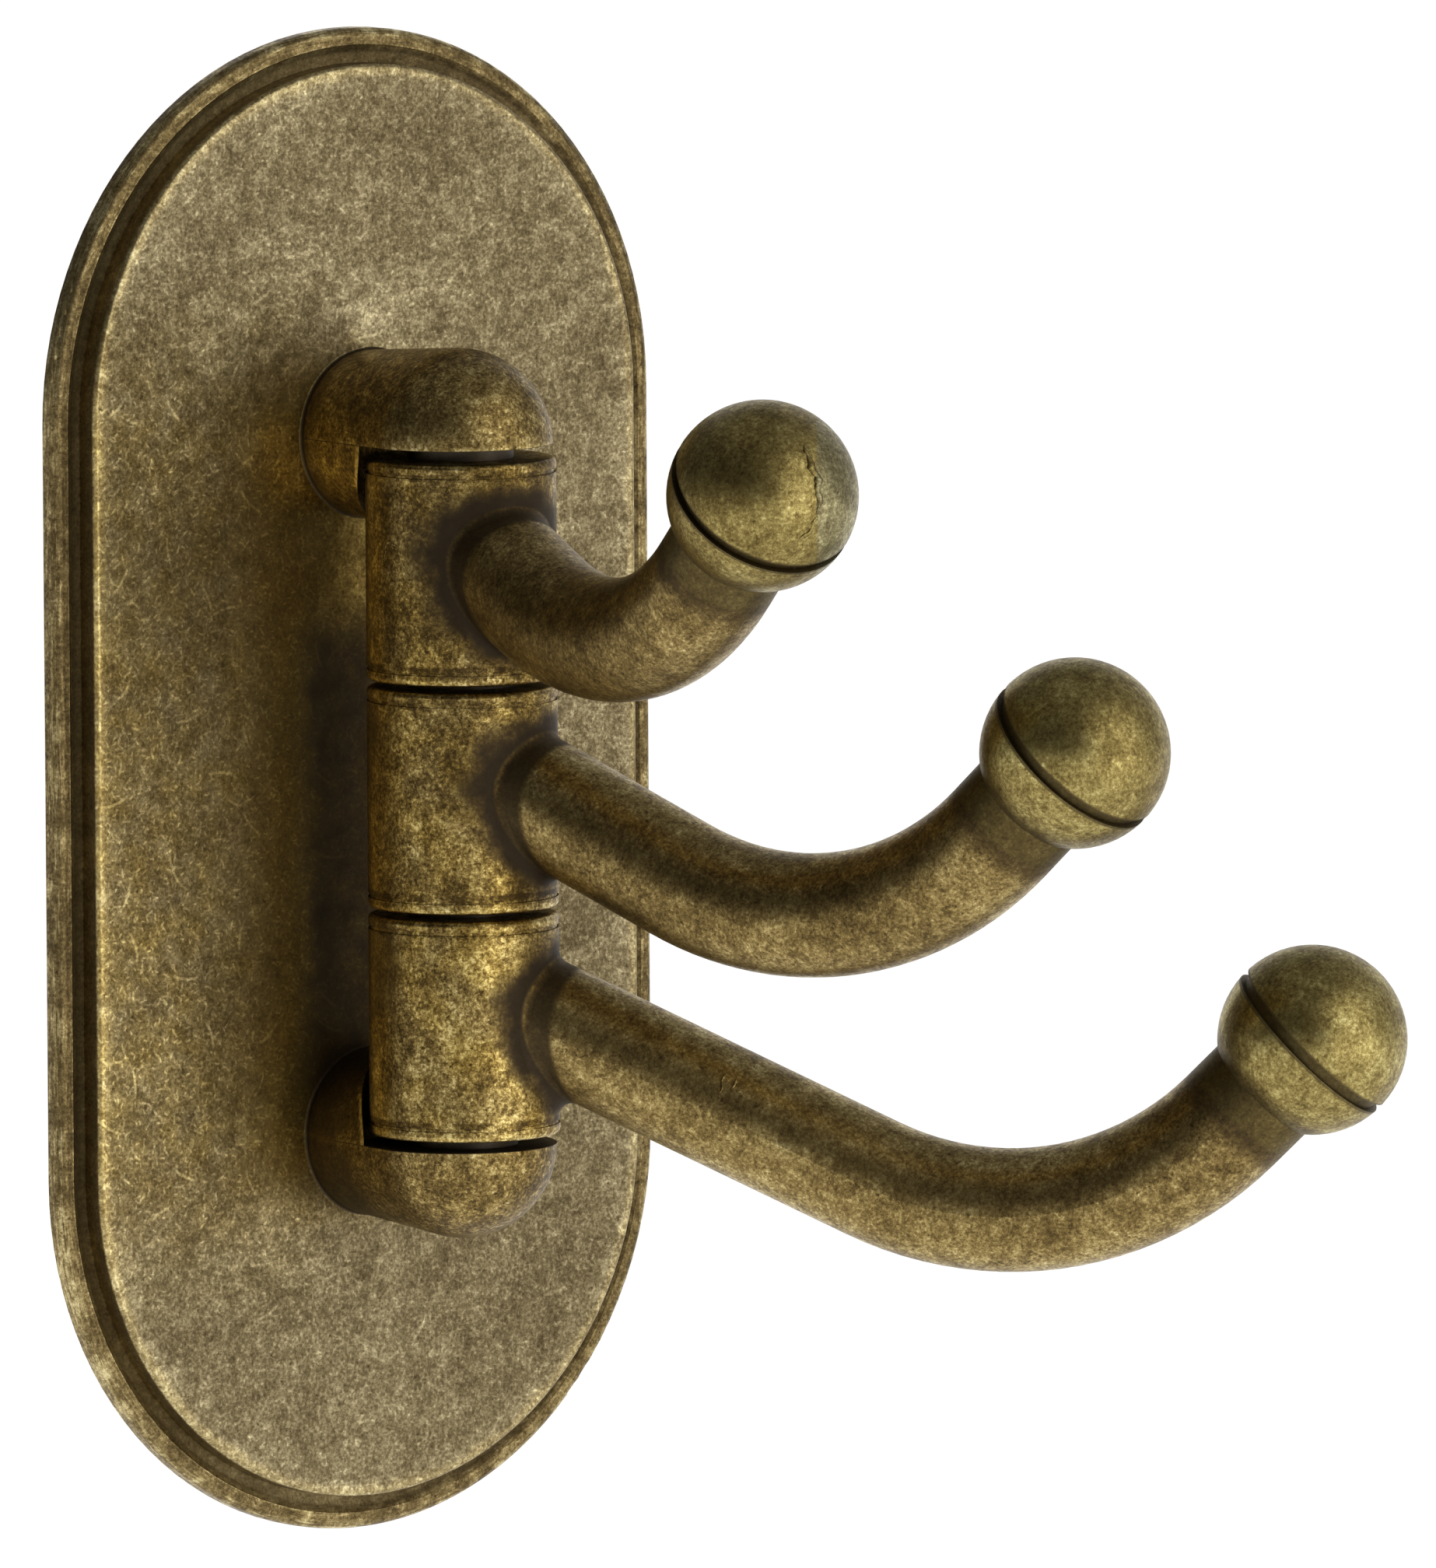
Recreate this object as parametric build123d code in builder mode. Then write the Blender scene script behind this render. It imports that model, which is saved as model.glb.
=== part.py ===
from build123d import *
import os
from math import cos, radians, sin, sqrt

# Robe hook with three arms that swing one above the other on one pin.
# Millimetres, +Z up. The wall is the plane y = 0 and the hook stands out of it towards -Y.
# The origin is the middle of the backplate's wall side.

# Backplate: straight sides, half-round ends
plate_height = 114.3
plate_width = 57.15
plate_thickness = 3.0
panel_inset = 2.65
panel_edge_radius = 0.4
rim_height = 1.5
rim_edge_radius = 0.75
rim_crest_width = 0.5
cove_drop = 0.4
cove_sag = 0.16

# Posts: two domed arms of the backplate that hold the hinge between them
dome_set_back = 0.4
post_root_radius = 6.35
post_root_fillet = 0.2
notch_clearance = 0.6

# Hinge stack, from the lower post to the upper one
pivot_distance = 14.4
barrel_radius = 7.2
barrel_length = 16.75
bottom_washer_thickness = 0.8
middle_washer_thickness = 0.5
top_washer_thickness = 0.9
stack_play = 0.1
washer_radius = 4.0
washer_clearance = 0.1
barrel_edge_radius = 0.4
line_inset = 0.95
line_width = 0.3
line_depth = 0.15

# Pivot pin, driven up from below, its lower end dressed flush with the lower post
pin_radius = 2.5
pin_clearance = 0.05
pin_depth_in_upper_post = 4.5

# Hook arms: straight and sloping down from the barrel, then one bend up into the ball
arm_radius = 4.67
arm_root_rise = 3.1
arm_slope = 24.8
arm_end_angle = 44.7
arm_end_length = 8.9
arm_root_fillet = 1.1
ball_radius = 7.15
ball_line_width = 0.8
ball_line_depth = 0.45

# Each hook: name, reach from the pin to the ball, bend radius, swing to the right when stored
hook_sizes = [
    ("long_hook", 64.8, 24.2, 41.0),
    ("middle_hook", 52.1, 24.2, 23.0),
    ("short_hook", 40.9, 21.2, -5.0),
]

# Wall bracket: a folded steel strip in the hollow back, with a tab at each end
bracket_thickness = 1.6
bracket_width = 20.0
bracket_end_step = 6.4
bracket_corner_radius = 3.0
tab_rise = 3.9
tab_width = 6.4
tab_reach = 8.8
tab_bend_radius = 2.2
tab_clearance = 0.3
tab_play = 0.6
screw_spacing = 26.0
screw_hole_radius = 1.9
screw_sink_radius = 3.0
pocket_clearance = 0.3
pocket_margin = 1.0
pocket_corner_radius = 4.0

# Set screw, up through the underside of the lower post
set_screw_radius = 1.5
set_screw_clearance = 0.05
set_screw_length = 2.6
set_screw_distance = 6.9
set_screw_key = 0.75
set_screw_key_depth = 1.2

# Heights of the hinge stack, centred on the plate
notch_height = (
    3 * barrel_length
    + bottom_washer_thickness
    + 2 * middle_washer_thickness
    + top_washer_thickness
    + stack_play
)
notch_bottom = -notch_height / 2
notch_top = notch_height / 2
barrel_pitch = barrel_length + middle_washer_thickness
first_barrel_bottom = notch_bottom + bottom_washer_thickness

# The posts' domes are as round as the barrels, the bracket's tabs are centred on the posts
post_radius = barrel_radius
post_length = pivot_distance - dome_set_back
tab_height = notch_top + tab_rise
bracket_height = 2 * (tab_height - bracket_end_step)
straight_half = (plate_height - plate_width) / 2


def plate_section(left):
    """Outline of the plate's section from x = left to its right edge, wall side at y = 0."""
    edge = plate_width / 2
    panel = edge - panel_inset
    crest = edge - rim_edge_radius
    cove_start = crest - rim_crest_width
    cove_end_height = rim_height - cove_drop
    cove_middle = ((cove_start + panel) / 2, cove_drop / 2 + cove_sag - rim_height)
    corner = (1 - sqrt(0.5)) * panel_edge_radius
    rim_corner = (1 - sqrt(0.5)) * rim_edge_radius
    Polyline((left, -plate_thickness), (left, 0), (edge, 0), (edge, rim_edge_radius - rim_height))
    ThreePointArc(
        (edge, rim_edge_radius - rim_height),
        (edge - rim_corner, rim_corner - rim_height),
        (crest, -rim_height),
    )
    Line((crest, -rim_height), (cove_start, -rim_height))
    ThreePointArc((cove_start, -rim_height), cove_middle, (panel, -cove_end_height))
    Line((panel, -cove_end_height), (panel, panel_edge_radius - plate_thickness))
    ThreePointArc(
        (panel, panel_edge_radius - plate_thickness),
        (panel - corner, corner - plate_thickness),
        (panel - panel_edge_radius, -plate_thickness),
    )
    Line((panel - panel_edge_radius, -plate_thickness), (left, -plate_thickness))


def post_outline():
    """Half of a post's outline, from inside the plate to the tip of its dome."""
    Polyline(
        (0, -post_length - post_radius),
        (0, -plate_thickness / 2),
        (post_root_radius, -plate_thickness / 2),
        (post_root_radius, -plate_thickness),
        (post_radius, -post_length),
    )
    CenterArc((0, -post_length), post_radius, -90, 90)


# Backplate and posts, one casting
with BuildPart() as backplate:
    # The straight middle of the plate, half at a time
    with BuildSketch(Plane.XY):
        with BuildLine():
            plate_section(0)
        make_face()
        mirror(about=Plane.YZ)
    extrude(amount=straight_half, both=True)
    # The half-round ends
    for side in (-1, 1):
        with BuildSketch(Plane.XY.offset(side * straight_half)):
            with BuildLine():
                plate_section(0)
            make_face()
        revolve(axis=Axis((0, 0, side * straight_half), (0, -side, 0)), revolution_arc=180)

    # Posts: round bosses that widen away from the panel and end in a dome
    for side in (-1, 1):
        with BuildSketch(Plane.XY.offset(side * notch_top)):
            with BuildLine():
                post_outline()
            make_face()
        revolve(axis=Axis((0, 0, side * notch_top), (0, 1, 0)))
    # The corner where each post leaves the panel
    roots = (
        backplate.edges()
        .filter_by(GeomType.CIRCLE)
        .filter_by(lambda edge: abs(edge.radius - post_root_radius) < 0.01)
        .filter_by(lambda edge: abs(edge.center().Y + plate_thickness) < 0.01)
    )
    fillet(roots, post_root_fillet)

    # The notch between the posts, round behind the barrels and open to the front
    notch_radius = barrel_radius + notch_clearance
    with BuildSketch(Plane.XY.offset(notch_bottom)):
        with Locations((0, -pivot_distance)):
            Circle(notch_radius)
            Rectangle(2 * notch_radius, 2 * notch_radius, align=(Align.CENTER, Align.MAX))
    extrude(amount=notch_height, mode=Mode.SUBTRACT)
    # The pin's holes: a press fit through the lower post and a blind running fit in the upper one
    with BuildSketch(Plane.XY.offset(notch_bottom)):
        with Locations((0, -pivot_distance)):
            Circle(pin_radius)
    extrude(amount=-post_radius, mode=Mode.SUBTRACT)
    with BuildSketch(Plane.XY.offset(notch_top)):
        with Locations((0, -pivot_distance)):
            Circle(pin_radius + pin_clearance)
    extrude(amount=pin_depth_in_upper_post + pin_clearance, mode=Mode.SUBTRACT)

    # The pocket that the wall bracket lies in
    with BuildSketch(Plane.XZ):
        RectangleRounded(
            bracket_width + 2 * pocket_margin,
            2 * (tab_height + pocket_margin),
            pocket_corner_radius,
        )
    extrude(amount=bracket_thickness + pocket_clearance, mode=Mode.SUBTRACT)
    # The sockets for its tabs: the upper one rests on its tab, the lower one has play both ways
    socket_floor = tab_height - bracket_thickness - tab_play
    with BuildSketch(Plane.XZ):
        with Locations((0, socket_floor)):
            Rectangle(
                tab_width + 2 * tab_clearance,
                tab_height - socket_floor,
                align=(Align.CENTER, Align.MIN),
            )
        with Locations((0, -socket_floor)):
            Rectangle(
                tab_width + 2 * tab_clearance,
                tab_height + tab_play - socket_floor,
                align=(Align.CENTER, Align.MAX),
            )
    extrude(amount=tab_reach + tab_clearance, mode=Mode.SUBTRACT)
    # The set screw's hole, from the lower socket down through the post
    with BuildSketch(Plane.XY.offset(-tab_height)):
        with Locations((0, -set_screw_distance)):
            Circle(set_screw_radius + set_screw_clearance)
    extrude(amount=-post_radius, mode=Mode.SUBTRACT)
backplate.part.label = "backplate"


def make_hook(barrel_bottom, reach, bend_radius, swing):
    """One casting: hinge barrel, arm and ball, with the arm swung to the right by swing degrees."""
    slope = radians(arm_slope)
    end_angle = radians(arm_end_angle)
    straight_length = (
        reach
        - bend_radius * (sin(slope) + sin(end_angle))
        - arm_end_length * cos(end_angle)
    ) / cos(slope)
    root_height = barrel_bottom + barrel_length / 2 + arm_root_rise
    turn = radians(swing)
    side_plane = Plane(
        origin=(0, -pivot_distance, root_height),
        x_dir=(sin(turn), -cos(turn), 0),
        z_dir=(-cos(turn), -sin(turn), 0),
    )
    with BuildPart() as hook:
        # The barrel, with softened ends and a fine line cut round it near each end
        with BuildSketch(Plane.XY.offset(barrel_bottom)):
            with Locations((0, -pivot_distance)):
                Circle(barrel_radius)
        extrude(amount=barrel_length)
        fillet(hook.edges().filter_by(GeomType.CIRCLE), barrel_edge_radius)
        for height in (line_inset, barrel_length - line_inset):
            line_plane = Plane(origin=(0, -pivot_distance, barrel_bottom + height))
            with BuildSketch(line_plane):
                Circle(barrel_radius + line_depth)
                Circle(barrel_radius - line_depth, mode=Mode.SUBTRACT)
            extrude(amount=line_width / 2, both=True, mode=Mode.SUBTRACT)

        # The arm's centre line runs from the pin's axis to the ball's centre
        with BuildLine(side_plane) as centre_line:
            straight = Line(
                (0, 0),
                (straight_length * cos(slope), -straight_length * sin(slope)),
            )
            bend = JernArc(straight @ 1, straight % 1, bend_radius, arm_slope + arm_end_angle)
            Line(bend @ 1, (bend @ 1) + (bend % 1) * arm_end_length)
        path = centre_line.wires()[0]
        ball_plane = Plane(origin=path @ 1, z_dir=path % 1)
        with BuildSketch(Plane(origin=path @ 0, z_dir=path % 0)):
            Circle(arm_radius)
        sweep(path=path)
        root_edges = hook.edges(Select.NEW).filter_by(GeomType.BSPLINE)
        fillet(root_edges, arm_root_fillet)

        # The ball, with a groove round its middle, square to the arm's end
        with Locations(ball_plane):
            Sphere(ball_radius)
        with BuildSketch(ball_plane):
            Circle(ball_radius + ball_line_depth)
            Circle(ball_radius - ball_line_depth, mode=Mode.SUBTRACT)
        extrude(amount=ball_line_width / 2, both=True, mode=Mode.SUBTRACT)

        # The pin's bore
        with BuildSketch(Plane.XY.offset(barrel_bottom)):
            with Locations((0, -pivot_distance)):
                Circle(pin_radius + pin_clearance)
        extrude(amount=barrel_length, mode=Mode.SUBTRACT)
    return hook.part


# The three hooks, from the lowest barrel up
hooks = []
for place, (name, reach, bend_radius, swing) in enumerate(hook_sizes):
    hook = make_hook(first_barrel_bottom + place * barrel_pitch, reach, bend_radius, swing)
    hook.label = name
    hooks.append(hook)


def make_washer(bottom, thickness):
    """A flat ring round the pin."""
    with BuildPart() as washer:
        with BuildSketch(Plane.XY.offset(bottom)):
            with Locations((0, -pivot_distance)):
                Circle(washer_radius)
                Circle(pin_radius + washer_clearance, mode=Mode.SUBTRACT)
        extrude(amount=thickness)
    return washer.part


# Washers: each one lies on the piece below it
washer_places = [
    ("bottom_washer", notch_bottom, bottom_washer_thickness),
    ("lower_washer", first_barrel_bottom + barrel_length, middle_washer_thickness),
    ("upper_washer", first_barrel_bottom + barrel_length + barrel_pitch, middle_washer_thickness),
    ("top_washer", notch_top - stack_play - top_washer_thickness, top_washer_thickness),
]
washers = []
for name, bottom, thickness in washer_places:
    washer = make_washer(bottom, thickness)
    washer.label = name
    washers.append(washer)

# Pivot pin: its lower end takes the lower post's outline
with BuildPart() as pivot_pin:
    with BuildSketch(Plane.XY.offset(notch_bottom)):
        with Locations((0, -pivot_distance)):
            Circle(pin_radius)
    extrude(amount=-post_radius)
    with BuildSketch(Plane.XY.offset(notch_bottom)):
        with BuildLine():
            post_outline()
        make_face()
    revolve(axis=Axis((0, 0, notch_bottom), (0, 1, 0)), mode=Mode.INTERSECT)
    with BuildSketch(Plane.XY.offset(notch_bottom)):
        with Locations((0, -pivot_distance)):
            Circle(pin_radius)
    extrude(amount=notch_height + pin_depth_in_upper_post)
pivot_pin.part.label = "pivot_pin"

# Wall bracket: strip, folded tabs and two sunk screw holes
with BuildPart() as wall_bracket:
    with BuildSketch(Plane.XZ):
        RectangleRounded(bracket_width, bracket_height, bracket_corner_radius)
    extrude(amount=bracket_thickness)
    with BuildSketch(Plane.YZ):
        with BuildLine():
            FilletPolyline(
                (-tab_reach, tab_height),
                (0, tab_height),
                (0, -tab_height),
                (-tab_reach, -tab_height),
                radius=tab_bend_radius,
            )
            offset(amount=-bracket_thickness, side=Side.RIGHT)
        make_face()
    extrude(amount=tab_width / 2, both=True)
    with Locations(Plane(origin=(0, -bracket_thickness, 0), x_dir=(1, 0, 0), z_dir=(0, -1, 0))):
        with GridLocations(1, screw_spacing, 1, 2):
            CounterSinkHole(screw_hole_radius, screw_sink_radius, counter_sink_angle=90)
wall_bracket.part.label = "wall_bracket"

# Set screw: its tip bears on the lower tab
with BuildPart() as set_screw:
    with BuildSketch(Plane.XY.offset(-tab_height - set_screw_length)):
        with Locations((0, -set_screw_distance)):
            Circle(set_screw_radius)
    extrude(amount=set_screw_length)
    with BuildSketch(Plane.XY.offset(-tab_height - set_screw_length)):
        with Locations((0, -set_screw_distance)):
            RegularPolygon(set_screw_key, 6, major_radius=False)
    extrude(amount=set_screw_key_depth, mode=Mode.SUBTRACT)
set_screw.part.label = "set_screw"

# One file for each piece
os.makedirs("parts", exist_ok=True)
pieces = [backplate.part, *hooks, *washers, pivot_pin.part, wall_bracket.part, set_screw.part]
for piece in pieces:
    export_step(piece, f"parts/{piece.label}.step")
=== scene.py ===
import math
from types import SimpleNamespace

import bpy
from mathutils import Matrix, Vector


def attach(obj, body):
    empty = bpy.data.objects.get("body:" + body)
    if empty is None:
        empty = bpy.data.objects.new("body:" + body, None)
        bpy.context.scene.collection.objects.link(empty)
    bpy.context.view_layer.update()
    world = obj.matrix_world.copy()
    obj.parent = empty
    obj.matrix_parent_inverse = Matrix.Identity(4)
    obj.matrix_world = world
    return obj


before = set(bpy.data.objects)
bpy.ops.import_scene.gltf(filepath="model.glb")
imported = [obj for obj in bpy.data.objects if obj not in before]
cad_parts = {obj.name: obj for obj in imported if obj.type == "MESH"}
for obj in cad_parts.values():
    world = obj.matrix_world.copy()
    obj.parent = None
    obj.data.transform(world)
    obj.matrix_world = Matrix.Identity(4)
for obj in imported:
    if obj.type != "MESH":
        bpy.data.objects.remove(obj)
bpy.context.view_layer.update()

# The picture, in pixels, and the camera that was fitted to it
IMAGE_WIDTH, IMAGE_HEIGHT = 1846, 2016
CAMERA_AZIMUTH = math.radians(38.654)
CAMERA_ELEVATION = math.radians(6.097)
CAMERA_ROLL = math.radians(-0.322)
CAMERA_DISTANCE = 2.091
FOCAL_PIXELS = 35461
# Where the middle of the backplate's wall side lies in the picture
ORIGIN_PIXEL = (444.0, 1001.0)
SENSOR = 36.0

# The studio, in metres and degrees
FLOOR_HEIGHT = -0.3
FLOOR_SIZE = 16.0
FLOOR_WHITE = 0.5
FLOOR_LIFT = 0.93
KEY_AZIMUTH, KEY_ELEVATION = 14, 8
KEY_DISTANCE = 1.2
KEY_WIDTH, KEY_TALL = 1.3, 2.0
KEY_LEVEL = 1.3
# The backdrop glows round this direction, behind the hook and to its right
BACKDROP_DIRECTION = (0.62, 0.78, -0.25)
BACKDROP_LEVEL, RIGHT_LEVEL, CEILING_LEVEL, ROOM_LEVEL = 0.8, 0.40, 0.15, 0.085

# Sizes of the metal, in millimetres and degrees, as the CAD part has them
HINGE_Y = -14.4
STRAIGHT_HALF = 28.575
PANEL_Y = -3.0
PANEL_RADIUS = 25.925
CREST_RADIUS = 27.58
NOTCH_HEIGHT = 26.525
BARREL_RADIUS = 7.2
NOTCH_RADIUS = 7.8
BARREL_LENGTH = 16.75
BARREL_PITCH = 17.25
ARM_RADIUS = 4.67
ARM_ROOT_RISE = 3.1
ARM_SLOPE, ARM_END_ANGLE = 24.8, 44.7
ARM_END_LENGTH = 8.9
BALL_RADIUS = 7.15
# The middle of a barrel's dark line, from the barrel's end
LINE_INSET = 1.1
# Beyond its seam, on this side, the short hook's ball is duller
SEAM_RIGHT = (0.781, -0.625, 0.0)
# Each hook: barrel's place from the middle, reach, bend radius, swing, wear of barrel and of arm
HOOKS = {
    "long_hook": (-1, 64.8, 24.2, 41, 0.10, 0.0),
    "middle_hook": (0, 52.1, 24.2, 23, 0.0, -0.03),
    "short_hook": (1, 40.9, 21.2, -5, -0.04, -0.06),
}

# Small raised marks of the casting, each by the body it is on, its width, its height and its points
SCARS = {
    "ball_seam_scar": (
        "short_hook",
        0.70,
        0.18,
        [
            (-4.1, -60.9, 30.0),
            (-4.3, -61.6, 28.9),
            (-3.9, -62.0, 27.6),
            (-3.9, -62.2, 26.2),
            (-4.0, -62.2, 24.9),
        ],
    ),
    "ball_low_scar": (
        "short_hook",
        0.40,
        0.10,
        [(-4.0, -62.2, 24.7), (-4.6, -61.9, 23.6), (-5.3, -61.3, 22.8)],
    ),
    "barrel_casting_mark": (
        "short_hook",
        0.24,
        0.10,
        [
            (-7.2, -14.2, 18.4),
            (-7.2, -14.3, 19.1),
            (-7.2, -14.9, 19.6),
            (-7.1, -15.6, 19.4),
            (-7.1, -15.7, 18.8),
        ],
    ),
    "arm_nick_long": (
        "long_hook",
        0.24,
        0.13,
        [(10.0, -32.7, -21.9), (10.4, -32.5, -21.1), (11.0, -32.4, -20.5)],
    ),
    "arm_nick_short": (
        "long_hook",
        0.22,
        0.10,
        [(10.8, -33.1, -21.6), (11.2, -33.0, -21.1), (11.6, -33.0, -20.8)],
    ),
}
SCAR_STEP = 0.12
# A mark's section, as shares of half its width and of its height, and how deep its foot goes
SCAR_SECTION = [(-1.0, -0.05), (-0.55, 0.55), (0.1, 1.0), (0.6, 0.5), (1.0, -0.05)]
SCAR_FOOT = 0.15

# In the finishes below, lengths are in millimetres, a mask is 1 where its feature lies and 0 elsewhere,
# and the number that multiplies a mask is the wear or the film that the feature adds

# Base colours from dark patina at 0 to bare brass at 1, a scale that wear, painted light and painted shade
# all move
GOLDEN = [
    (0.0, (0.0635, 0.0423, 0.0169)),
    (0.2, (0.109, 0.0726, 0.0261)),
    (0.4, (0.184, 0.1243, 0.0423)),
    (0.6, (0.300, 0.2147, 0.0773)),
    (0.8, (0.484, 0.3724, 0.149)),
    (1.0, (0.764, 0.6477, 0.337)),
]
KHAKI = [
    (0.0, (0.0600, 0.0430, 0.0190)),
    (0.2, (0.1000, 0.0735, 0.0345)),
    (0.4, (0.1650, 0.1270, 0.0620)),
    (0.6, (0.2720, 0.2185, 0.1200)),
    (0.8, (0.4500, 0.3760, 0.2120)),
    (1.0, (0.7450, 0.6500, 0.3700)),
]
# The warm cast of the barrels, and that of the panel and the posts
WARM = (1.06, 0.99, 0.72)
PANEL_WARM = (1.10, 0.98, 0.60)
# The greener cast of the balls
OLIVE = (0.95, 1.01, 0.92)
# A smooth dark film: dark patina round the arm roots and in the balls' grooves and necks, painted shade in
# creases, gaps, the panel's wall and behind the hinge, and both in the rim's cove
SOOT_AND_SHADE = (0.043, 0.031, 0.020, 1)
PLATE_WEAR, HOOK_WEAR = 0.48, 0.60
DULL_ROUGHNESS, WORN_ROUGHNESS = 0.47, 0.36
BUMP_HEIGHT = 0.0001

# The plain small parts: colour, strength of the stains, roughness and the stains' scale
WASHER = ((0.11, 0.09, 0.065), 1.2, 0.5, 0.6)
PIN = ((0.26, 0.19, 0.075), 1.2, 0.4, 0.5)
BRACKET = ((0.50, 0.50, 0.49), 0.6, 0.38, 0.3)
SCREW = ((0.12, 0.12, 0.125), 0.8, 0.4, 0.8)

# The scales of the finish's noises, from large patches to fine grain, each per millimetre
CLOUD_SCALE, LUMP_SCALE, MOTTLE_SCALE, SPECK_SCALE, GRAIN_SCALE = 0.15, 0.28, 0.8, 2.3, 3.4
STROKE_TURNS = (0.5, 1.6, 2.7)
STROKE_SCALE = (0.8, 4.5, 4.5)
# Layers of curved marks on the panel: offset along x and z, cell, length, width, bend and strength
PANEL_MARKS = [
    (0.0, 0.0, 0.8, 0.5, 0.10, 0.5, 1.0),
    (0.4, 0.0, 1.9, 1.0, 0.14, 0.35, 1.0),
    (0.0, 3.1, 7.0, 3.0, 0.17, 0.12, 1.2),
]


def make_camera():
    """The camera looks down on the hook a little, from the left of the wall's normal."""
    cos_elevation = math.cos(CAMERA_ELEVATION)
    back = Vector(
        (
            -math.sin(CAMERA_AZIMUTH) * cos_elevation,
            -math.cos(CAMERA_AZIMUTH) * cos_elevation,
            math.sin(CAMERA_ELEVATION),
        )
    )
    level_right = (-back).cross(Vector((0, 0, 1))).normalized()
    level_up = level_right.cross(-back)
    cos_roll, sin_roll = math.cos(CAMERA_ROLL), math.sin(CAMERA_ROLL)
    right = level_right * cos_roll + level_up * sin_roll
    up = level_up * cos_roll - level_right * sin_roll
    metres_per_pixel = CAMERA_DISTANCE / FOCAL_PIXELS
    place = (
        back * CAMERA_DISTANCE
        - right * (ORIGIN_PIXEL[0] - IMAGE_WIDTH / 2) * metres_per_pixel
        + up * (ORIGIN_PIXEL[1] - IMAGE_HEIGHT / 2) * metres_per_pixel
    )
    data = bpy.data.cameras.new("camera")
    data.sensor_width = SENSOR
    data.lens = FOCAL_PIXELS * SENSOR / IMAGE_HEIGHT
    data.clip_start = 0.1
    data.clip_end = 100
    camera = bpy.data.objects.new("camera", data)
    camera.matrix_world = Matrix.Translation(place) @ Matrix((right, up, back)).transposed().to_4x4()
    bpy.context.scene.collection.objects.link(camera)
    bpy.context.scene.camera = camera


class Wire:
    """The output of a node. Wires add and multiply, so a mask reads as a sum."""

    def __init__(self, nodes, socket):
        self.nodes = nodes
        self.socket = socket

    def __add__(self, other):
        return self.nodes.math("ADD", self, other)

    def __sub__(self, other):
        return self.nodes.math("SUBTRACT", self, other)

    def __rsub__(self, other):
        return self.nodes.math("SUBTRACT", other, self)

    def __mul__(self, other):
        return self.nodes.math("MULTIPLY", self, other)

    def __abs__(self):
        return self.nodes.math("ABSOLUTE", self)

    __radd__ = __add__
    __rmul__ = __mul__


class Nodes:
    """Short calls for building a node tree. A value may be a number, a colour or a wire."""

    def __init__(self, tree):
        self.tree = tree
        tree.nodes.clear()

    def node(self, kind, settings=None, **inputs):
        node = self.tree.nodes.new(kind)
        for name, value in (settings or {}).items():
            setattr(node, name, value)
        for name, value in inputs.items():
            place = int(name[1:]) if name[1:].isdigit() else name.replace("_", " ")
            if isinstance(value, Wire):
                self.tree.links.new(value.socket, node.inputs[place])
            else:
                node.inputs[place].default_value = value
        return node

    def add(self, kind, output=0, settings=None, **inputs):
        return Wire(self, self.node(kind, settings, **inputs).outputs[output])

    def math(self, operation, *values):
        inputs = {f"i{place}": value for place, value in enumerate(values)}
        return self.add("ShaderNodeMath", settings={"operation": operation}, **inputs)

    def smaller(self, first, second):
        return self.math("MINIMUM", first, second)

    def larger(self, first, second):
        return self.math("MAXIMUM", first, second)

    def step(self, value, low, high, to_low=0.0, to_high=1.0):
        """A smooth step from to_low at low to to_high at high."""
        settings = {"interpolation_type": "SMOOTHSTEP"}
        return self.add(
            "ShaderNodeMapRange", settings=settings, Value=value, i1=low, i2=high, i3=to_low, i4=to_high
        )

    def band(self, value, middle, half, soft):
        """One where value is within half of middle, and zero from soft beyond that."""
        return self.step(abs(value - middle), half + soft, half)

    def combine(self, x, y, z=0.0):
        return self.add("ShaderNodeCombineXYZ", X=x, Y=y, Z=z)

    def split(self, vector):
        node = self.node("ShaderNodeSeparateXYZ", Vector=vector)
        return [Wire(self, output) for output in node.outputs]

    def vector(self, operation, first, second=(0, 0, 0), output=0):
        return self.add("ShaderNodeVectorMath", output, {"operation": operation}, i0=first, i1=second)

    def dot(self, first, second):
        return self.vector("DOT_PRODUCT", first, second, 1)

    def length(self, first):
        return self.vector("LENGTH", first, output=1)

    def noise(self, vector, scale, detail=2.0, roughness=0.5):
        """Noise about zero, mostly from -0.25 to 0.25."""
        fractal = {"Detail": detail, "Roughness": roughness}
        return self.add("ShaderNodeTexNoise", Vector=vector, Scale=scale, **fractal) - 0.5

    def colours(self, value, stops):
        """A colour ramp with stops of (place, colour)."""
        node = self.node("ShaderNodeValToRGB", Fac=value)
        elements = node.color_ramp.elements
        elements[0].position, elements[0].color = stops[0][0], (*stops[0][1], 1)
        elements[1].position, elements[1].color = stops[-1][0], (*stops[-1][1], 1)
        for place, colour in stops[1:-1]:
            elements.new(place).color = (*colour, 1)
        return Wire(self, node.outputs[0])

    def mix(self, factor, first, second):
        return self.add("ShaderNodeMix", 2, {"data_type": "RGBA"}, i0=factor, i6=first, i7=second)

    def path(self, ray):
        return self.add("ShaderNodeLightPath", ray)

    def finish(self, shader, kind="ShaderNodeOutputMaterial"):
        self.node(kind, i0=shader)

    def metal(self, colour, roughness, bump):
        surface = {"Base_Color": colour, "Metallic": 1.0, "Roughness": roughness, "Normal": bump}
        self.finish(self.add("ShaderNodeBsdfPrincipled", **surface))


def new_material(name):
    material = bpy.data.materials.new(name)
    material.use_nodes = True
    return material, Nodes(material.node_tree)


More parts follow.
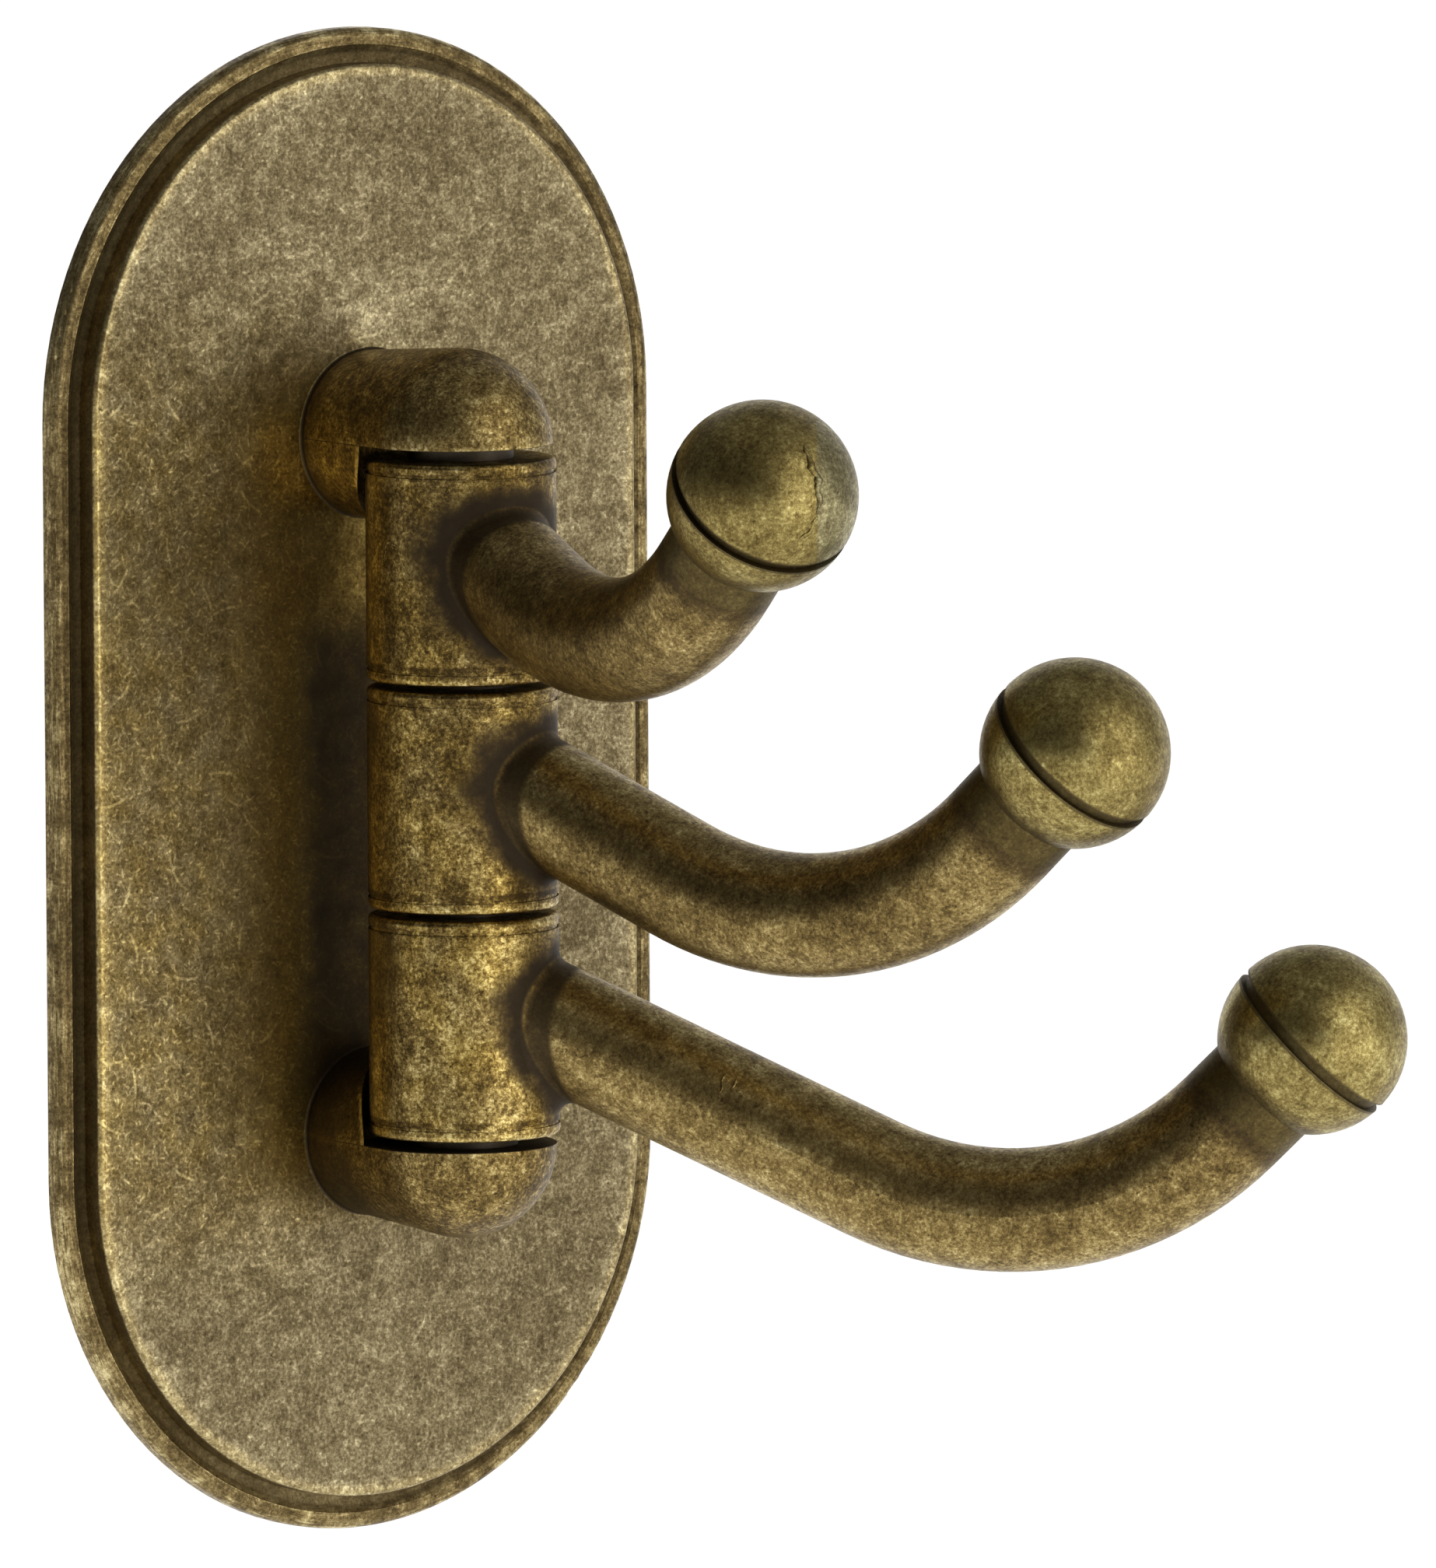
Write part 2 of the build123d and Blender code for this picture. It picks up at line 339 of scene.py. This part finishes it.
def make_world():
    """A white room behind the hook, and a darker one on the camera's side."""
    world = bpy.data.worlds.new("studio")
    bpy.context.scene.world = world
    world.use_nodes = True
    n = Nodes(world.node_tree)
    direction = n.add("ShaderNodeTexCoord", "Generated")
    x, y, z = n.split(direction)
    backdrop = n.step(n.dot(direction, BACKDROP_DIRECTION), 0.55, 0.8)
    right = n.step(x, 0.2, 0.9) * RIGHT_LEVEL
    ceiling = n.step(z, 0.5, 0.95) * CEILING_LEVEL
    room = n.larger(right, ceiling) + ROOM_LEVEL
    white = n.larger(n.path("Is Glossy Ray"), n.path("Is Transmission Ray")) * backdrop
    level = n.larger(room, n.larger(white, backdrop * BACKDROP_LEVEL))
    level = n.larger(level, n.path("Is Camera Ray"))
    background = n.add("ShaderNodeBackground", Color=(1, 1, 1, 1), Strength=level)
    n.finish(background, "ShaderNodeOutputWorld")


def make_key_light():
    """One large soft light, a little to the right of the hook's front."""
    data = bpy.data.lights.new("key_light", "AREA")
    data.shape = "RECTANGLE"
    data.size, data.size_y = KEY_WIDTH, KEY_TALL
    data.energy = KEY_LEVEL * math.pi * KEY_WIDTH * KEY_TALL
    lamp = bpy.data.objects.new("key_light", data)
    azimuth, elevation = math.radians(KEY_AZIMUTH), math.radians(KEY_ELEVATION)
    level = math.cos(elevation)
    out = Vector((math.sin(azimuth) * level, -math.cos(azimuth) * level, math.sin(elevation)))
    lamp.location = out * KEY_DISTANCE
    lamp.rotation_mode = "QUATERNION"
    lamp.rotation_quaternion = out.to_track_quat("Z", "Y")
    lamp.visible_camera = False
    bpy.context.scene.collection.objects.link(lamp)


def make_floor():
    """A plain floor that looks white to the camera and still takes the hook's shadow."""
    half = FLOOR_SIZE / 2
    corners = [(-half, -half, 0), (half, -half, 0), (half, half, 0), (-half, half, 0)]
    mesh = bpy.data.meshes.new("floor")
    mesh.from_pydata(corners, [], [(0, 1, 2, 3)])
    floor = bpy.data.objects.new("floor", mesh)
    floor.location = (0, 0, FLOOR_HEIGHT)
    bpy.context.scene.collection.objects.link(floor)
    material, n = new_material("floor_white")
    seen = n.larger(n.path("Is Glossy Ray"), n.path("Is Transmission Ray"))
    seen = n.larger(n.path("Is Camera Ray"), seen)
    lift = n.add("ShaderNodeEmission", Color=(1, 1, 1, 1), Strength=seen * FLOOR_LIFT)
    paper = n.add("ShaderNodeBsdfDiffuse", Color=(FLOOR_WHITE, FLOOR_WHITE, FLOOR_WHITE, 1))
    n.finish(n.add("ShaderNodeAddShader", i0=paper, i1=lift))
    mesh.materials.append(material)


def millimetres(n):
    """The place on the piece, in millimetres; it moves with the piece."""
    own_place = n.add("ShaderNodeTexCoord", "Object")
    return n.add("ShaderNodeVectorMath", settings={"operation": "SCALE"}, i0=own_place, Scale=1000.0)


def strokes(n, place):
    """Short rubbed marks that run in three directions."""
    marks = None
    for turn in STROKE_TURNS:
        rotation = (turn, 1.3 * turn, 0.7 * turn)
        turned = n.add("ShaderNodeMapping", Vector=place, Rotation=rotation, Scale=STROKE_SCALE)
        mark = n.step(n.noise(turned, 1.0, 1.0), 0.12, 0.24)
        marks = mark if marks is None else n.larger(marks, mark)
    return marks


def scratches(n, x, z, cell, length, width, bend):
    """On a flat face, one thin curved mark in each cell, each in a direction of its own."""
    flat = n.combine(x * (1 / cell), z * (1 / cell))
    settings = {"voronoi_dimensions": "2D"}
    spot = n.add("ShaderNodeTexVoronoi", "Position", settings, Vector=flat, Scale=1.0)
    draw = n.add("ShaderNodeTexVoronoi", "Color", settings, Vector=flat, Scale=1.0)
    turn = n.split(draw)[0] * (2 * math.pi)
    cosine, sine = n.math("COSINE", turn), n.math("SINE", turn)
    off_x, off_z, _ = n.split(n.vector("SUBTRACT", flat, spot))
    along = (off_x * cosine + off_z * sine) * cell
    across = (off_z * cosine - off_x * sine) * cell + along * along * bend
    return n.step(abs(across), width, width * 0.3) * n.step(abs(along), length / 2, length / 4)


def brass(
    n, place, worn_and_painted_light, khaki=0.0, warm=0.0, tint=WARM, olive=0.0, smooth=0.0, fine=1.0, blotch=0.3, hair=0.08
):
    """The common finish: patina and bare brass in fine mottle, with marks, roughness and bump.

    Worn is the mean wear, with painted light and painted shade added in places. Khaki, warm (with its tint)
    and olive shift the colour, and smooth is the share of a smooth dark film, dark patina in some places
    and painted shade in others. Fine, blotch and hair are the strength of the mottle, of the large
    patches and of the marks.
    """
    cloud = n.noise(place, CLOUD_SCALE, 2.0, 0.6)
    mottle = n.noise(place, MOTTLE_SCALE, 3.0, 0.75)
    grain = n.noise(place, GRAIN_SCALE, 3.0, 0.85)
    marks = strokes(n, place)
    specks = n.step(n.noise(place, SPECK_SCALE, 1.0, 0.5), 0.17, 0.25)
    rough_part = (mottle * 0.85 + grain * 1.35 + marks * hair - specks * 0.22) * fine + cloud * blotch
    worn_and_painted_light = worn_and_painted_light - 0.03 + rough_part * (1.0 - smooth * 0.8)
    colour = n.mix(khaki, n.colours(worn_and_painted_light, GOLDEN), n.colours(worn_and_painted_light, KHAKI))
    colour = n.mix(warm, colour, n.vector("MULTIPLY", colour, tint))
    colour = n.mix(olive, colour, n.vector("MULTIPLY", colour, OLIVE))
    # The smooth film is dark patina in places and painted shade in others
    colour = n.mix(smooth, colour, SOOT_AND_SHADE)
    rough = n.step(worn_and_painted_light + grain * 0.2, 0.2, 0.9, DULL_ROUGHNESS, WORN_ROUGHNESS) + smooth * 0.2
    lump = n.noise(place, LUMP_SCALE, 1.0, 0.5)
    height = lump * 2.2 + mottle * 0.35 + grain * 0.08
    bump = n.add("ShaderNodeBump", Strength=0.6, Distance=BUMP_HEIGHT, Height=height)
    n.metal(colour, rough, bump)


def plate_places(n, place):
    """Where on the plate a point lies, and on which of its parts."""
    p = SimpleNamespace()
    p.x, p.y, p.z = n.split(place)
    beyond = n.larger(abs(p.z) - STRAIGHT_HALF, 0.0)
    p.radius = n.length(n.combine(p.x, beyond))
    run = n.math("ARCTAN2", beyond, abs(p.x)) * CREST_RADIUS + n.smaller(abs(p.z), STRAIGHT_HALF)
    # Each quarter of the rim has noise of its own, drawn out along the rim
    quarter = n.math("SIGN", p.x) * 7 + n.math("SIGN", p.z) * 3
    p.rim_noise = n.noise(n.combine(run * 0.28, (p.radius + p.y) * 3.2, quarter), 1.0, 3.0, 0.7)
    p.patch = n.noise(place, 0.35, 2.0, 0.6)
    p.on_post = n.step(p.y, PANEL_Y - 0.02, PANEL_Y - 0.08)
    p.on_panel = n.step(p.y, PANEL_Y + 0.5, PANEL_Y + 0.15) * (1.0 - p.on_post)
    p.on_rim = n.step(p.y, PANEL_Y + 0.8, PANEL_Y + 1.3)
    # From 1 on the left of the plate to -1 on its right, so that the rim's painted light and the panel
    # edge's rubbing differ from side to side
    p.leftward = n.step(p.x, 10.0, -10.0, -1.0, 1.0)
    return p


def rim_wear_and_painted_light(n, p):
    """Rubbed streaks on the crest and the outer side, painted light that differs from side to side, and a
    dark film round the panel: painted shade on its wall, dark patina and painted shade in the cove.
    """
    crest = n.band(p.radius + p.rim_noise * 1.5, CREST_RADIUS, 0.6, 0.45) * p.on_rim
    streak = n.step(p.rim_noise + p.patch * 0.8, -0.04, 0.12)
    ridge = n.band(p.radius, CREST_RADIUS, 0.22, 0.2) * p.on_rim
    outer = n.step(p.radius, CREST_RADIUS + 0.35, CREST_RADIUS + 0.85)
    # Painted shade: the panel's wall takes the dark film; the cove's film is dark patina and painted shade
    wall = n.step(p.radius, PANEL_RADIUS + 0.5, PANEL_RADIUS + 0.1)
    wall = wall * n.step(p.y, PANEL_Y + 0.25, PANEL_Y + 0.55)
    cove = n.step(p.radius + p.rim_noise * 0.5, CREST_RADIUS - 0.30, CREST_RADIUS - 0.65) * p.on_rim
    slope = n.band(p.radius, CREST_RADIUS - 0.45, 0.15, 0.2) * p.on_rim
    # Painted light: the slope below the crest is lighter on the left, and the cove lighter on the left and
    # darker on the right; the rim's straight stretch on the left is darker
    left_half = n.larger(p.leftward, 0.0)
    straight = n.step(abs(p.z), 40.0, 24.0) * left_half * p.on_rim
    worn_and_painted_light = crest * (streak * 0.20 - 0.08) - ridge * 0.08 + outer * (streak * 0.26 + 0.09)
    worn_and_painted_light = worn_and_painted_light + cove * p.leftward * 0.14 + slope * left_half * 0.2 - straight * 0.10
    return worn_and_painted_light, n.larger(wall, cove) * 0.35


def panel_wear_and_painted_light(n, p):
    """A rubbed edge that fades inwards, marks of all lengths, and painted light and painted shade beside
    the hinge.
    """
    inward = PANEL_RADIUS - p.radius
    line = n.step(inward + p.patch * 1.2, 1.3, 0.2) * p.on_panel
    fade = n.step(inward + p.patch * 2.6, 3.0, 0.3) * p.on_panel
    left = n.step(p.x, -2.0, -9.0) * n.step(abs(p.z), 42.0, 24.0) * p.on_panel
    marks = None
    for offset_x, offset_z, cell, length, width, bend, strength in PANEL_MARKS:
        layer = scratches(n, p.x + offset_x, p.z + offset_z, cell, length, width, bend) * strength
        marks = layer if marks is None else n.larger(marks, layer)

    # The panel beside the hinge is lightened and warmed with painted light, most on the left where the
    # barrels shade it; behind the barrels it gets painted shade, and it is rubbed above the upper post
    hinge = n.length(n.combine(n.larger(abs(p.x + 1.5) - 5.0, 0.0), n.larger(abs(p.z) - 26.0, 0.0)))
    # Painted light: lightens and warms the panel round the hinge
    painted_hinge_light = n.step(hinge + p.patch * 4.0, 9.0, 1.0) * p.on_panel * n.step(p.x, 9.0, -3.0, 0.15, 1.0)
    # Painted shade: a smooth dark film on the panel behind the barrels
    behind = n.step(p.x + p.patch * 3.0, -8.0, -4.5) * n.step(p.x, 6.0, 0.0) * p.on_panel
    behind = behind * n.step(p.z, 16.0, 9.0) * n.step(p.z, -29.0, -25.0)
    rubbed = n.length(n.combine(p.x - 0.5, (p.z - 35.3) * 0.7))
    rubbed = n.step(rubbed + p.patch * 2.5, 3.4, 0.2) * p.on_panel

    worn_and_painted_light = line * (p.leftward * 0.03 + 0.16) + fade * 0.10 + marks * p.on_panel * (left * 0.12 + 0.13)
    worn_and_painted_light = worn_and_painted_light + rubbed * 0.17 + painted_hinge_light * 0.19 - behind * 0.12 - p.on_panel * 0.04
    smooth = behind * (p.patch * 0.5 + 0.8)
    warm = n.larger(painted_hinge_light, left * (p.patch * 1.6 + 0.6))
    khaki = (1.0 - painted_hinge_light * 0.8) * (1.0 - n.larger(p.on_rim * 0.6, line * 0.5))
    return worn_and_painted_light, smooth, warm, khaki


def post_wear_and_painted_shade(n, p):
    """Posts with painted shade at their feet, root fillets and notch shelves, rubbed along the notch's
    edges, and painted shade on the lower post's back left.
    """
    # Painted shade: the post darkens towards the panel, and its root fillet takes the dark film
    foot = n.step(p.y, -6.0, -3.4) * p.on_post
    root = n.step(p.y, PANEL_Y, PANEL_Y - 0.02) * n.step(p.y, -3.6, -3.25)
    # Painted shade on the lower post's left side near the panel
    behind = n.step(p.y + p.patch * 6.0, -10.5, -6.0) * n.step(p.x, 5.0, -1.0) * p.on_post
    painted_lower_shade = behind * n.step(p.z, -10.0, -14.0)
    notch = n.band(abs(p.z), NOTCH_HEIGHT, 0.12, 0.25) * p.on_post
    pin_radius = n.length(n.combine(p.x, p.y - HINGE_Y))
    side = n.band(pin_radius, NOTCH_RADIUS, 0.12, 0.15) * n.step(abs(p.z), NOTCH_HEIGHT + 0.1, NOTCH_HEIGHT)
    notch = n.larger(notch, side * n.step(abs(p.x), 5.6, 6.2) * p.on_post * 4.0)
    # Painted shade: the notch's shelf, in the gap by the barrel's end, takes the dark film
    shelf = n.band(abs(p.z), NOTCH_HEIGHT, 0.02, 0.03) * p.on_post
    worn_and_painted_light = p.on_post * n.step(p.z, -10.0, 10.0, -0.03, 0.03) - foot * 0.12 + notch * 0.12
    smooth = n.larger(n.larger(foot * 0.4, root * 0.85), n.larger(shelf * 0.8, painted_lower_shade * 0.65))
    return worn_and_painted_light, smooth


def plate_finish():
    """The plate with its rim, cove and panel, and its two posts."""
    material, n = new_material("backplate_finish")
    place = millimetres(n)
    p = plate_places(n, place)
    rim_worn_and_painted_light, rim_smooth = rim_wear_and_painted_light(n, p)
    panel_worn_and_painted_light, panel_smooth, panel_warm, khaki = panel_wear_and_painted_light(n, p)
    post_worn_and_painted_shade, post_smooth = post_wear_and_painted_shade(n, p)
    worn_and_painted_light = rim_worn_and_painted_light + panel_worn_and_painted_light + post_worn_and_painted_shade + PLATE_WEAR
    smooth = n.larger(rim_smooth, n.larger(panel_smooth, post_smooth))
    khaki = khaki * (1.0 - p.on_post)
    warm = n.larger(panel_warm, p.on_post * 0.15)
    fine = p.on_post * 0.6 + 1.0
    brass(n, place, worn_and_painted_light, khaki=khaki, warm=warm, tint=PANEL_WARM, smooth=smooth, fine=fine)
    return material


def arm_path(name):
    """Points and directions of a hook: the arm's root and slope, the ball's middle and the arm's end."""
    place, reach, bend, swing = HOOKS[name][:4]
    turn, slope, end = math.radians(swing), math.radians(ARM_SLOPE), math.radians(ARM_END_ANGLE)
    out = Vector((math.sin(turn), -math.cos(turn), 0))
    up = Vector((0, 0, 1))
    level = bend * (math.sin(slope) + math.sin(end)) + ARM_END_LENGTH * math.cos(end)
    straight = (reach - level) / math.cos(slope)
    root = Vector((0, HINGE_Y, place * BARREL_PITCH + ARM_ROOT_RISE))
    down = out * math.cos(slope) - up * math.sin(slope)
    rise = bend * (math.cos(slope) - math.cos(end)) + ARM_END_LENGTH * math.sin(end)
    ball = root + out * reach + up * (rise - straight * math.sin(slope))
    aim = out * math.cos(end) + up * math.sin(end)
    return root, down, ball, aim


def barrel_wear_and_painted_shade(n, h, middle):
    """Rubbed lips, broken dark lines and level streaks near the ends, dull patches on the flank, and
    painted shade on the end faces.
    """
    from_end = BARREL_LENGTH / 2 - abs(h.z - middle)
    lower = n.step(h.z, middle + 1.0, middle - 1.0)
    lip = n.step(from_end + h.patch * 0.9, 0.60, 0.25) * h.on_barrel
    broken = n.step(n.noise(h.place, 0.5, 1.0), -0.12, 0.06)
    line = n.band(from_end + h.patch * 0.15, LINE_INSET, 0.16, 0.22) * h.on_barrel * broken
    level = n.noise(n.combine(h.x * 0.6, h.y * 0.6, h.z * 4.0), 1.0, 3.0, 0.7)
    streak = n.step(level, 0.03, 0.12) * n.step(from_end, 3.4, 1.2) * h.on_barrel
    flank = n.step(n.noise(h.place, 0.22, 1.0), -0.14, 0.10) * h.on_barrel
    worn_and_painted_light = lip * (lower * 0.16 + 0.04) + streak * 0.14 - line * (lower * 0.18 + 0.20) - flank * 0.10
    # Painted shade: the end faces, in the gaps between the barrels, take the dark film
    end_face = n.step(from_end, 0.04, 0.0) * n.step(h.radius, BARREL_RADIUS - 0.3, BARREL_RADIUS - 0.6)
    return worn_and_painted_light, end_face * 0.8


def root_ring_and_painted_shade(n, h, root, down):
    """A smooth dark ring round the arm's root, and painted shade in the crease of the root's fillet."""
    from_root = n.vector("SUBTRACT", h.place, tuple(root))
    off_axis = n.length(n.vector("CROSS_PRODUCT", from_root, tuple(down)))
    ring = n.step(off_axis + h.patch * 2.6, ARM_RADIUS + 2.5, ARM_RADIUS + 0.6) * n.step(h.radius, 9.6, 8.4)
    ring = ring * n.step(n.dot(from_root, tuple(down)), 0.0, 3.0)
    ring = ring * n.step(off_axis, ARM_RADIUS - 0.1, ARM_RADIUS + 0.3)
    # Painted shade: the crease in the fillet is darkened and dulled
    crease = n.band(h.radius, BARREL_RADIUS + 0.8, 0.5, 0.6)
    crease = crease * n.step(off_axis, ARM_RADIUS + 2.0, ARM_RADIUS + 1.0)
    return crease * -0.20, n.larger(ring * 0.95, crease * 0.7)


def ball_wear(n, h, from_ball, aim, near_ball):
    """A dark groove with a border of smooth dark patina, and a dark neck."""
    along = n.dot(from_ball, tuple(aim))
    reach = n.length(from_ball)
    groove = n.step(reach, BALL_RADIUS - 0.05, BALL_RADIUS - 0.3) * n.step(reach, 5.5, 6.0) * near_ball
    groove_side = n.band(along + h.patch * 0.15, -0.12, 0.50, 0.14) * near_ball
    neck = n.band(along + h.patch * 2.0, -7.0, 1.4, 1.8)
    neck = neck * n.step(reach, BALL_RADIUS + 5.0, BALL_RADIUS + 2.0)
    return near_ball * 0.035 - neck * 0.18 - groove * 0.15, n.larger(groove_side * 0.6, neck * 0.4)


def hook_places(n, place):
    """Where on a hook a point lies."""
    h = SimpleNamespace(place=place)
    h.x, h.y, h.z = n.split(place)
    h.patch = n.noise(place, 0.45, 3.0, 0.6)
    h.radius = n.length(n.combine(h.x, h.y - HINGE_Y))
    h.on_barrel = n.step(h.radius, BARREL_RADIUS + 0.5, BARREL_RADIUS + 0.15)
    return h


def hook_finish(name):
    """A hook with its barrel, arm and ball."""
    stack_place, _, _, _, barrel_level, arm_level = HOOKS[name]
    root, down, ball, aim = arm_path(name)
    material, n = new_material(f"{name}_finish")
    place = millimetres(n)
    h = hook_places(n, place)
    from_ball = n.vector("SUBTRACT", place, tuple(ball))
    near_ball = n.step(n.length(from_ball), BALL_RADIUS + 2.2, BALL_RADIUS + 1.8)
    barrel_worn, barrel_smooth = barrel_wear_and_painted_shade(n, h, stack_place * BARREL_PITCH)
    root_painted_shade, root_smooth = root_ring_and_painted_shade(n, h, root, down)
    ball_worn, ball_smooth = ball_wear(n, h, from_ball, aim, near_ball)

    # Painted light and shade: by which way the surface faces, the arm's top and underside are lighter than
    # its flanks
    facing = abs(n.split(n.add("ShaderNodeTexCoord", "Normal"))[2])
    on_arm = n.step(h.radius, 10.0, 14.0) * (1.0 - near_ball)
    # One side of the short hook's ball is duller
    dull = 0.0
    if name == "short_hook":
        dull = n.step(n.dot(from_ball, SEAM_RIGHT) + h.patch * 0.5, 3.9, 4.15) * near_ball

    worn_and_painted_light = h.on_barrel * (barrel_level - arm_level - 0.08) + (HOOK_WEAR + arm_level)
    worn_and_painted_light = worn_and_painted_light + barrel_worn + root_painted_shade + ball_worn + dull * 0.04
    worn_and_painted_light = worn_and_painted_light + n.step(facing, 0.25, 0.95, -0.10, 0.05) * on_arm
    smooth = n.larger(root_smooth, n.larger(barrel_smooth, ball_smooth))
    golden = n.step(n.noise(place, 0.28, 2.0), -0.15, 0.15, 0.3, 1.0)
    fine = h.on_barrel * 0.5 - near_ball * 0.2 + 1.2
    casts = {"khaki": dull, "warm": h.on_barrel * golden, "olive": near_ball}
    brass(n, place, worn_and_painted_light, smooth=smooth, fine=fine, blotch=0.55, hair=0.03, **casts)
    return material


def plain_metal(name, colour, spread, roughness, scale):
    """A plated or turned small part: an even colour with faint stains and fine marks."""
    material, n = new_material(name)
    place = millimetres(n)
    stain = n.noise(place, scale, 4.0, 0.6)
    grain = n.noise(place, 6.0, 2.0, 0.6)
    level = n.larger(stain * spread + grain * (spread * 0.4) + 1.0, 0.1)
    tint = n.add("ShaderNodeVectorMath", settings={"operation": "SCALE"}, i0=colour, Scale=level)
    rough = grain * 0.2 + stain * 0.15 + roughness
    bump = n.add("ShaderNodeBump", Strength=0.3, Distance=0.00005, Height=grain)
    n.metal(tint, rough, bump)
    return material


def along_line(points, step):
    """Points and directions at an even step along straight runs."""
    for first, second in zip(points, points[1:]):
        run = Vector(second) - Vector(first)
        count = max(1, round(run.length / step))
        for place in range(count):
            yield Vector(first) + run * (place / count), run.normalized()
    yield Vector(points[-1]), run.normalized()


def make_scar(name, node, width, height, points):
    """A low uneven ridge that follows the surface of a node, closed below it."""
    stations = list(along_line(points, SCAR_STEP))
    verts, faces = [], []
    for place, (point, run) in enumerate(stations):
        share = place / (len(stations) - 1)
        swell = math.sin(math.pi * min(max(share, 0.04), 0.96)) ** 0.5
        swell = swell * (1.0 + 0.2 * math.sin(0.55 * place) + 0.12 * math.sin(1.3 * place + 1))
        _, spot, normal, _ = node.closest_point_on_mesh(point / 1000)
        across = run.cross(normal).normalized()
        centre = spot * 1000 + across * (0.1 * math.sin(0.45 * place))
        half, top = width * swell / 2, height * swell
        for side, rise in SCAR_SECTION:
            verts.append((centre + across * (half * side) + normal * (top * rise)) / 1000)
        verts.append((centre - normal * SCAR_FOOT) / 1000)
    ring = len(SCAR_SECTION) + 1
    for place in range(len(stations) - 1):
        for corner in range(ring):
            a, b = place * ring + corner, place * ring + (corner + 1) % ring
            faces.append((a, b, b + ring, a + ring))
    faces.append(tuple(range(ring - 1, -1, -1)))
    faces.append(tuple(range(len(verts) - ring, len(verts))))
    mesh = bpy.data.meshes.new(name)
    mesh.from_pydata(verts, [], faces)
    mesh.shade_smooth()
    scar = bpy.data.objects.new(name, mesh)
    bpy.context.scene.collection.objects.link(scar)
    return scar


def make_scars(finishes):
    for name, (body, width, height, points) in SCARS.items():
        scar = make_scar(name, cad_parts[body], width, height, points)
        scar.data.materials.append(finishes[body])
        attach(scar, body)


def dress():
    """Each CAD node gets its own material."""
    finishes = {name: hook_finish(name) for name in HOOKS}
    finishes["backplate"] = plate_finish()
    washer = plain_metal("washer_finish", *WASHER)
    for name in ("bottom_washer", "lower_washer", "upper_washer", "top_washer"):
        finishes[name] = washer
    finishes["pivot_pin"] = plain_metal("pin_finish", *PIN)
    finishes["wall_bracket"] = plain_metal("bracket_finish", *BRACKET)
    finishes["set_screw"] = plain_metal("screw_finish", *SCREW)
    for name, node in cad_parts.items():
        node.data.materials.clear()
        node.data.materials.append(finishes[name])
    return finishes


bpy.context.scene.view_settings.view_transform = "Standard"
make_camera()
make_world()
make_key_light()
make_floor()
make_scars(dress())
